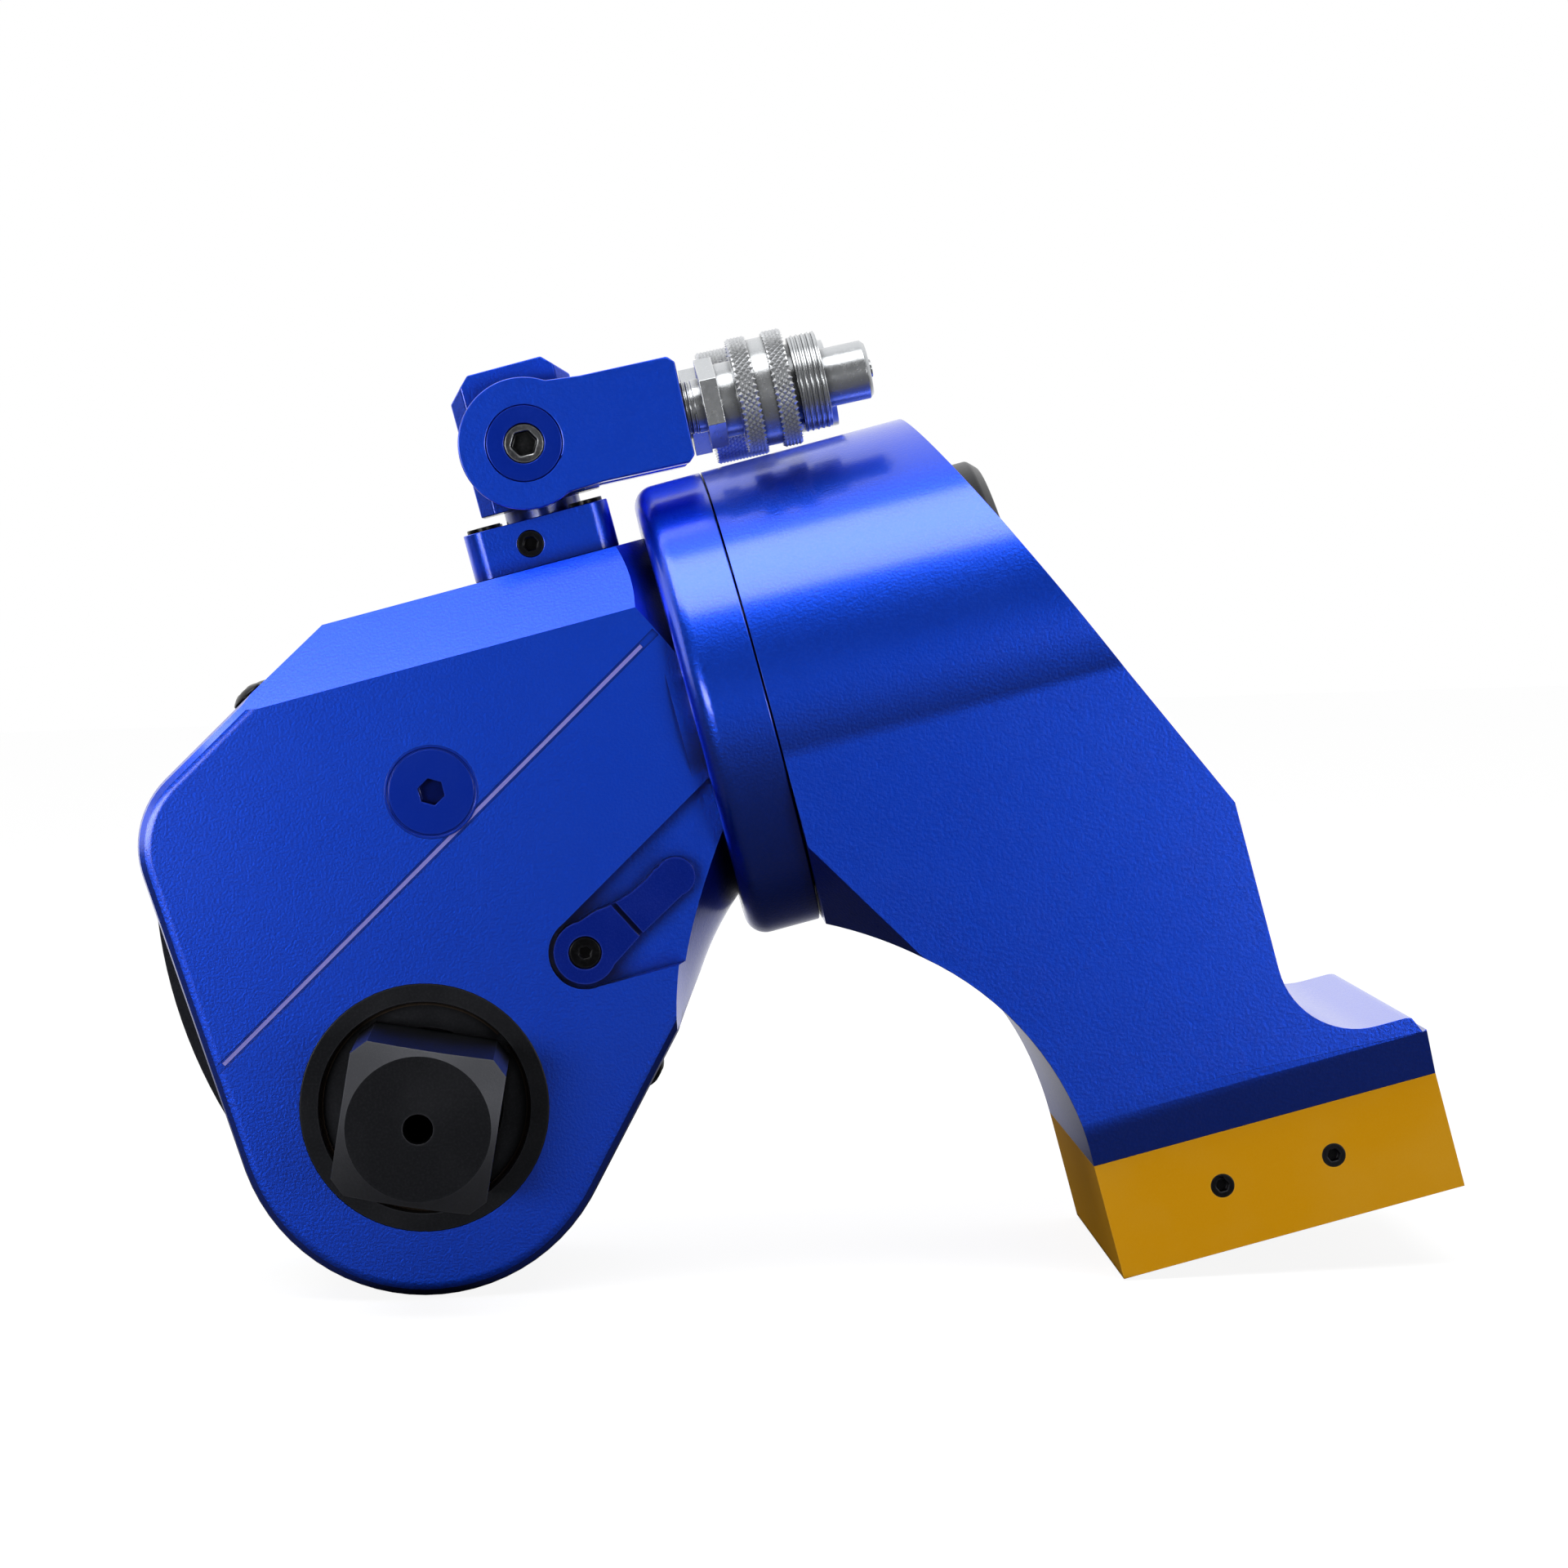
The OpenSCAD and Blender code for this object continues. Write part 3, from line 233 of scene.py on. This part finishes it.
# Access plug: a turned blue plug screwed flush into the side of the head over the rod pin.
# A fine ring marks its edge and a hexagon socket takes the key.
# Turned and anodised: a little darker and smoother than the blasted blue round it.
turned_anodise = surface("turned_anodise", "#0836C4", "#3052D0", "#02093C", metallic=1.0, roughness=0.36, grit_mm=0.6,
                         coat=0.35, edge=0.6, shade_mm=5)
machined("access_plug", 0.3, turned_anodise)

# Release lever: milled from aluminium plate and anodised, it lies in a pocket of the head.
# A black socket screw holds it to the pawl shaft; its stepped tip is pushed with a thumb.
# A darker copy of the blue anodise, as painted shade on the lever, with lighter edges that are partly worn and partly
# painted highlight.
lever_anodise_painted_shade = surface("lever_anodise_painted_shade", "#0428A0", "#3A54D8", "#010626", metallic=1.0, roughness=0.4, grit_mm=0.5,
                        relief=0.15, coat=0.4, edge=0.7, shade_mm=6)
machined("release_lever", 0.4, lever_anodise_painted_shade)

# Shroud, end cap, bushes, ratchet and square drive: steel, hardened and blackened in oil.
# The bushes are pressed into the head, the cap is screwed into the cylinder, and the shroud is screwed on.
# Black oxide under oil: near black, with a soft shine and grey edges that are partly worn and partly painted
# highlight.
black_oxide = surface("black_oxide", "#232428", "#505156", "#060607", metallic=0.9, roughness=0.38, grit_mm=0.6,
                      relief=0.06, coat=0.1, edge=0.7)
for name, break_mm in [("shroud", 0.6), ("end_cap", 0.5), ("drive_retainer", 0.2), ("front_bush", 0.3),
                       ("rear_bush", 0.3), ("ratchet", 0.4)]:
    machined(name, break_mm, black_oxide)
square = machined("square_drive", 0.5, black_oxide, smooth=12, sharp=18)
# The square's coned corner facets are painted a dull mid grey: a painted highlight for the light that these facets
# catch.
corner_painted_highlight = surface("corner_painted_highlight", "#56575C", "#77787D", "#0A0A0B", metallic=0.9, roughness=0.45, grit_mm=0.5,
                        relief=0.08)
square.data.materials.append(corner_painted_highlight)
corner_depth = 0.0055
steepest, flattest = 0.6, 0.98
square_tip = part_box("square_drive")[0][1]
for face in square.data.polygons:
    if steepest < -face.normal.y < flattest and face.center.y < square_tip + corner_depth:
        face.material_index = 1

# Screws: alloy steel, forged with a socket and rolled with a thread, then blackened.
# They hold the shroud, swivel base, lever and pad.
# Blackened alloy steel: darker and shinier than the shroud, with bright rims that are partly worn and partly painted
# highlight.
black_screw = surface("black_screw", "#101013", "#4A4B4F", "#050506", metallic=0.9, roughness=0.3, grit_mm=0.7,
                      coat=0.15, edge=0.6)
for name in ["shroud_screws", "base_screws", "base_set_screw", "lever_screw", "pad_screws"]:
    machined(name, 0.2, black_screw)


# Retaining rings: spring wire coiled to an open ring.
# They are sprung into the bores in front of the bushes.
def carried(name, material):
    mesh = frame["nodes"][name].data
    mesh.materials.clear()
    mesh.materials.append(material)


# Tempered spring steel: a dark brown wire with a fine shine.
spring_wire = surface("spring_wire", "#2E2824", "#6A5A4A", "#0C0A09", metallic=1.0, roughness=0.36, grit_mm=1.0)
carried("retaining_rings", spring_wire)

# Hidden working parts: ground and oiled steel inside the head and cylinder, seen only when it is opened.
# The push button on the far end of the drive is the one that shows; it is drawn to clear its bore and seat.
# Ground, oiled steel: a plain cool grey with faint streaks of oil.
ground_steel = surface("ground_steel", "#7E8188", "#A6A9AF", "#1E1F22", metallic=1.0, roughness=0.33, grit_mm=1.1)
for name in ["piston", "piston_rod", "rod_pin", "drive_plates", "plate_spacers", "drive_pawl", "reaction_pawl",
             "pawl_shaft", "cross_axle"]:
    carried(name, ground_steel)
button_fit, button_lift = 0.985, 0.0003
button = machined("retainer_button", 0.3, ground_steel)
slimmer = Matrix.Diagonal((button_fit, 1, button_fit, 1))
button.data.transform(Matrix.Translation((0, button_lift, 0)) @ slimmer)

# Seals: nitrile rings moulded to size.
# They sit in grooves of the piston, the end cap and the bulkhead.
# Nitrile rubber: matt black.
nitrile = surface("nitrile_rubber", "#101012", "#1C1C1E", "#050505", metallic=0.0, roughness=0.6, grit_mm=1.6)
for name in ["cap_seal", "rod_seal", "piston_seal"]:
    carried(name, nitrile)

# Reaction pad: a steel shoe, machined, painted and screwed over a tongue under the foot.
# It takes the push of the tool against a neighbouring nut.
# Golden yellow paint: flat and even, with hardly any shine.
yellow_paint = surface("yellow_paint", "#F0A800", "#F4BC44", "#7A5200", metallic=0.0, roughness=0.55, grit_mm=0.5,
                       relief=0.08, edge=0.45)
yellow_paint.node_tree.nodes["Principled BSDF"].inputs["Specular IOR Level"].default_value = 0.1
machined("reaction_pad", 0.6, yellow_paint)

# Swivel coupling: base, head and two arms milled from aluminium and anodised with the body.
# The base is screwed to the head's flat top; each arm swings on the cross axle behind a turned plug.
for name, break_mm in [("swivel_base", 0.8), ("swivel_head", 0.8), ("front_arm", 1.4), ("rear_arm", 1.4)]:
    machined(name, break_mm, blue_anodise)
for name in ["front_axle_plug", "rear_axle_plug"]:
    machined(name, 0.3, turned_anodise)

# Couplers: turned steel with bright zinc plate, screwed into the swivel arms.
# Each has a hexagon for the spanner, a knurled sleeve that turns and a spring valve in its nose.
# Bright zinc plate on turned steel: a silvery grey with sharp lights, painted shade blackening its seams, and lighter
# edges that are partly worn and partly painted highlight.
bright_zinc = surface("bright_zinc", "#CDD0D3", "#F0F2F4", "#1C1D20", metallic=0.8, roughness=0.24, grit_mm=1.1,
                      edge=0.6)
for name in ["male_coupler", "male_sleeve", "male_poppet", "female_coupler", "female_sleeve", "female_poppet"]:
    machined(name, 0.3, bright_zinc)
# Worn zinc on the axle screws: a bright rim, partly worn and partly painted highlight, round a hexagon socket
# blackened with painted shade.
socket_steel = surface("socket_steel", "#5A5B60", "#E8EAEC", "#060607", metallic=1.0, roughness=0.3, grit_mm=0.8,
                       edge=0.8, shade_mm=7)
for name in ["front_axle_screw", "rear_axle_screw"]:
    machined(name, 0.4, socket_steel)


# Knurl on the coupler sleeves: diamond points pressed by two rolls, every second row half a pitch round.
# Each point is a small four-sided pyramid that stands on the sleeve.
def coupler_frame(joint_name):
    sleeve = joint(joint_name)
    along = Vector(sleeve["axis"]).normalized()
    side = Vector((0, 1, 0))
    turn = Matrix((along, side, along.cross(side))).transposed().to_4x4()
    return Matrix.Translation(sleeve["pos_m"]) @ turn


def grown(name, group, values, placed, body):
    piece = bpy.data.objects.new(name, bpy.data.meshes.new(name))
    scene.collection.objects.link(piece)
    maker = piece.modifiers.new("maker", "NODES")
    maker.node_group = group
    for item in group.interface.items_tree:
        if item.item_type == "SOCKET" and item.in_out == "INPUT":
            maker[item.identifier] = values[item.name]
    mesh = bpy.data.meshes.new_from_object(piece.evaluated_get(bpy.context.evaluated_depsgraph_get()))
    piece.modifiers.clear()
    piece.data = mesh
    mesh.transform(placed)
    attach(piece, body)
    return piece


knurl = bpy.data.node_groups.new("diamond_knurl", "GeometryNodeTree")
for label, kind in [("Radius", "Float"), ("Length", "Float"), ("Around", "Int"), ("Rows", "Int"), ("Point", "Float"),
                    ("Material", "Material")]:
    knurl.interface.new_socket(label, in_out="INPUT", socket_type="NodeSocket" + kind)
knurl.interface.new_socket("Geometry", in_out="OUTPUT", socket_type="NodeSocketGeometry")
given = add(knurl, "NodeGroupInput").outputs
total = add(knurl, "ShaderNodeMath", {0: given["Around"], 1: given["Rows"]}, operation="MULTIPLY")
spots = add(knurl, "GeometryNodeMeshLine", {"Count": total.outputs[0]})
index = add(knurl, "GeometryNodeInputIndex")
lap = add(knurl, "ShaderNodeMath", {0: index.outputs[0], 1: given["Around"]}, operation="DIVIDE")
row = add(knurl, "ShaderNodeMath", {0: lap.outputs[0]}, operation="FLOOR")
odd = add(knurl, "ShaderNodeMath", {0: row.outputs[0]}, {1: 2.0}, operation="MODULO")
count = add(knurl, "ShaderNodeMath", {0: odd.outputs[0], 2: index.outputs[0]}, {1: 0.5},
            operation="MULTIPLY_ADD")
step = add(knurl, "ShaderNodeMath", {0: count.outputs[0], 1: given["Around"]}, operation="DIVIDE")
angle = add(knurl, "ShaderNodeMath", {0: step.outputs[0]}, {1: math.tau}, operation="MULTIPLY")
out_y = add(knurl, "ShaderNodeMath", {0: angle.outputs[0]}, operation="COSINE")
out_z = add(knurl, "ShaderNodeMath", {0: angle.outputs[0]}, operation="SINE")
middle = add(knurl, "ShaderNodeMath", {0: row.outputs[0]}, {1: 0.5}, operation="ADD")
share = add(knurl, "ShaderNodeMath", {0: middle.outputs[0], 1: given["Rows"]}, operation="DIVIDE")
reach = add(knurl, "ShaderNodeMath", {0: share.outputs[0], 1: given["Length"]}, operation="MULTIPLY")
outward = add(knurl, "ShaderNodeCombineXYZ", {"Y": out_y.outputs[0], "Z": out_z.outputs[0]})
rim = add(knurl, "ShaderNodeVectorMath", {0: outward.outputs[0], "Scale": given["Radius"]}, operation="SCALE")
along = add(knurl, "ShaderNodeCombineXYZ", {"X": reach.outputs[0]})
spot = add(knurl, "ShaderNodeVectorMath", {0: rim.outputs[0], 1: along.outputs[0]}, operation="ADD")
moved = add(knurl, "GeometryNodeSetPosition", {"Geometry": spots.outputs[0], "Position": spot.outputs[0]})
point_steepness = 0.62
height = add(knurl, "ShaderNodeMath", {0: given["Point"]}, {1: point_steepness}, operation="MULTIPLY")
tooth = add(knurl, "GeometryNodeMeshCone", {"Radius Bottom": given["Point"], "Depth": height.outputs[0]},
            {"Vertices": 4})
lean = add(knurl, "FunctionNodeAlignRotationToVector", {"Vector": outward.outputs[0]}, axis="Z", pivot_axis="X")
teeth = add(knurl, "GeometryNodeInstanceOnPoints", {
    "Points": moved.outputs[0], "Instance": tooth.outputs["Mesh"], "Rotation": lean.outputs[0]})
real = add(knurl, "GeometryNodeRealizeInstances", {0: teeth.outputs[0]})
dressed = add(knurl, "GeometryNodeSetMaterial", {"Geometry": real.outputs[0], "Material": given["Material"]})
add(knurl, "NodeGroupOutput", {0: dressed.outputs[0]})

male = coupler_frame("male_sleeve_turn")
female = coupler_frame("female_sleeve_turn")
# Zinc plate on the knurl: points lightened with painted highlight over valleys darkened with painted shade, which
# read as a fine sparkle.
knurl_zinc = surface("knurled_zinc", "#C4C6CA", "#F4F6F8", "#141517", metallic=0.8, roughness=0.3, grit_mm=1.1,
                     edge=0.7, shade_mm=1)
knurl_radius, point_size, points_around = 0.01445, 0.00088, 58
for name, placed, start, length, rows, body in [
        ("male_knurl_1", male, -0.0060, 0.0044, 5, "front_sleeve"),
        ("male_knurl_2", male, 0.0031, 0.0044, 5, "front_sleeve"),
        ("female_knurl", female, -0.0126, 0.0132, 15, "rear_sleeve")]:
    grown(name, knurl, {"Radius": knurl_radius, "Length": length, "Around": points_around, "Rows": rows,
                        "Point": point_size, "Material": knurl_zinc},
          placed @ Matrix.Translation((start, 0, 0)), body)

# Threads: rolled ridges round the male coupler, each a spiral with a four-sided section.
# The coarse one takes the mating half's nut; the fine one screws into the swivel arm.
thread = bpy.data.node_groups.new("screw_thread", "GeometryNodeTree")
for label, kind in [("Radius", "Float"), ("Length", "Float"), ("Turns", "Float"), ("Ridge", "Float"),
                    ("Material", "Material")]:
    thread.interface.new_socket(label, in_out="INPUT", socket_type="NodeSocket" + kind)
thread.interface.new_socket("Geometry", in_out="OUTPUT", socket_type="NodeSocketGeometry")
given = add(thread, "NodeGroupInput").outputs
wound = add(thread, "GeometryNodeCurveSpiral", {
    "Rotations": given["Turns"], "Start Radius": given["Radius"], "End Radius": given["Radius"],
    "Height": given["Length"]}, {"Resolution": 72})
section = add(thread, "GeometryNodeCurvePrimitiveCircle", {"Radius": given["Ridge"]}, {"Resolution": 4})
ridge = add(thread, "GeometryNodeCurveToMesh", {"Curve": wound.outputs[0], "Profile Curve": section.outputs[0]},
            {"Fill Caps": True})
real = add(thread, "GeometryNodeRealizeInstances", {0: ridge.outputs[0]})
dressed = add(thread, "GeometryNodeSetMaterial", {"Geometry": real.outputs[0], "Material": given["Material"]})
add(thread, "NodeGroupOutput", {0: dressed.outputs[0]})
along_x = Matrix.Rotation(math.pi / 2, 4, "Y")
for name, start, radius, length, turns, ridge_r in [
        ("male_thread", 0.0096, 0.0119, 0.0061, 4.5, 0.00055),
        ("male_root_thread", -0.0199, 0.0065, 0.0024, 2.2, 0.0004)]:
    grown(name, thread, {"Radius": radius, "Length": length, "Turns": turns, "Ridge": ridge_r,
                         "Material": bright_zinc},
          male @ Matrix.Translation((start, 0, 0)) @ along_x, "front_swivel_arm")

# Studio: a pale floor and a white field behind, one long soft light overhead and cards at the sides in front.
# The room is dim in front, so that the flat blue faces stay deep; metal sees the white field behind the object.
floor_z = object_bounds()[0][2]
floor_size, floor_drop = 8, 0.0005
bpy.ops.mesh.primitive_plane_add(size=floor_size, location=(0, 0, floor_z - floor_drop))
floor = bpy.context.object
floor.name = "floor"
# Matt white paper: plain white to the lens, with a soft shadow under the tool, and dim in the light it gives back.
matt_paper = bpy.data.materials.new("matt_paper")
floor.data.materials.append(matt_paper)
matt_paper.use_nodes = True
tree = matt_paper.node_tree
tree.nodes.clear()
ray = add(tree, "ShaderNodeLightPath")
through = add(tree, "ShaderNodeMath", {0: ray.outputs["Is Camera Ray"], 1: ray.outputs["Is Transmission Ray"]},
              operation="MAXIMUM")
ground = add(tree, "ShaderNodeNewGeometry")
parts = add(tree, "ShaderNodeSeparateXYZ", {0: ground.outputs["Position"]})
behind = add(tree, "ShaderNodeMapRange", {"Value": parts.outputs["Y"]}, {"From Min": 0.15, "From Max": 0.7})
mirrored = add(tree, "ShaderNodeMath", {0: ray.outputs["Is Glossy Ray"], 1: behind.outputs[0]},
               operation="MULTIPLY")
seen = add(tree, "ShaderNodeMath", {0: through.outputs[0], 1: mirrored.outputs[0]}, operation="MAXIMUM")
white = add(tree, "ShaderNodeEmission", values={"Color": linear("#FFFFFF"), "Strength": 0.9})
lit = add(tree, "ShaderNodeBsdfDiffuse", values={"Color": linear("#898989")})
bright = add(tree, "ShaderNodeAddShader", {0: white.outputs[0], 1: lit.outputs[0]})
matt = add(tree, "ShaderNodeBsdfDiffuse", values={"Color": linear("#505050")})
mixed = add(tree, "ShaderNodeMixShader", {0: seen.outputs[0], 1: matt.outputs[0], 2: bright.outputs[0]})
add(tree, "ShaderNodeOutputMaterial", {"Surface": mixed.outputs[0]})

world = bpy.data.worlds.new("studio")
scene.world = world
world.use_nodes = True
tree = world.node_tree
tree.nodes.clear()
ray = add(tree, "ShaderNodeLightPath")
through = add(tree, "ShaderNodeMath", {0: ray.outputs["Is Camera Ray"], 1: ray.outputs["Is Transmission Ray"]},
              operation="MAXIMUM")
way = add(tree, "ShaderNodeTexCoord")
parts = add(tree, "ShaderNodeSeparateXYZ", {0: way.outputs["Generated"]})
behind = add(tree, "ShaderNodeMapRange", {"Value": parts.outputs["Y"]}, {"From Min": -0.3, "From Max": 0.4})
mirrored = add(tree, "ShaderNodeMath", {0: ray.outputs["Is Glossy Ray"], 1: behind.outputs[0]},
               operation="MULTIPLY")
seen = add(tree, "ShaderNodeMath", {0: through.outputs[0], 1: mirrored.outputs[0]}, operation="MAXIMUM")
dim = add(tree, "ShaderNodeMapRange", {"Value": behind.outputs[0]}, {"To Min": 0.04, "To Max": 0.7})
room = add(tree, "ShaderNodeBackground", {"Strength": dim.outputs[0]}, {"Color": linear("#FFFFFF")})
field = add(tree, "ShaderNodeBackground", values={"Color": linear("#FFFFFF"), "Strength": 1.0})
mixed = add(tree, "ShaderNodeMixShader", {0: seen.outputs[0], 1: room.outputs[0], 2: field.outputs[0]})
add(tree, "ShaderNodeOutputWorld", {"Surface": mixed.outputs[0]})


def soft_light(name, place, aim, size, power):
    lamp = bpy.data.lights.new(name, "AREA")
    lamp.shape = "RECTANGLE"
    lamp.size, lamp.size_y = size
    lamp.energy = power
    light = bpy.data.objects.new(name, lamp)
    scene.collection.objects.link(light)
    light.location = place
    light.rotation_euler = (Vector(aim) - Vector(place)).to_track_quat("-Z", "Y").to_euler()


soft_light("overhead", (-0.05, -0.43, 1.05), (0.05, 0.0, 0.05), (1.6, 0.6), 11)
middle = (0.1, 0, 0.06)
for name, across in [("left_card", -0.95), ("right_card", 1.15)]:
    soft_light(name, (across, -2.0, 0.1), middle, (0.9, 0.5), 9.8)
soft_light("left_strip", (-1.3, -0.1, 0.15), (0, 0, 0.08), (0.5, 0.9), 1.2)

# Camera: a long lens just above the tool's middle.
# Its place, turn and focal length were found by fitting measured points of the tool to the photograph.
picture_px, focal_px = 1920, 5411.17
camera_place = (0.0468, -1.10465, 0.13752)
pan, pitch, roll = -0.04132, -0.05338, 0.02852
lens = bpy.data.cameras.new("camera")
lens.sensor_width = 36
lens.lens = focal_px / picture_px * lens.sensor_width
lens.clip_end = 20
camera = bpy.data.objects.new("camera", lens)
scene.collection.objects.link(camera)
level = Matrix.Rotation(math.pi / 2, 3, "X")
turn = Matrix.Rotation(pan, 3, "Z") @ Matrix.Rotation(pitch, 3, "X") @ Matrix.Rotation(roll, 3, "Y")
camera.matrix_world = Matrix.Translation(camera_place) @ (turn @ level).to_4x4()
scene.camera = camera
scene.view_settings.view_transform = "Standard"
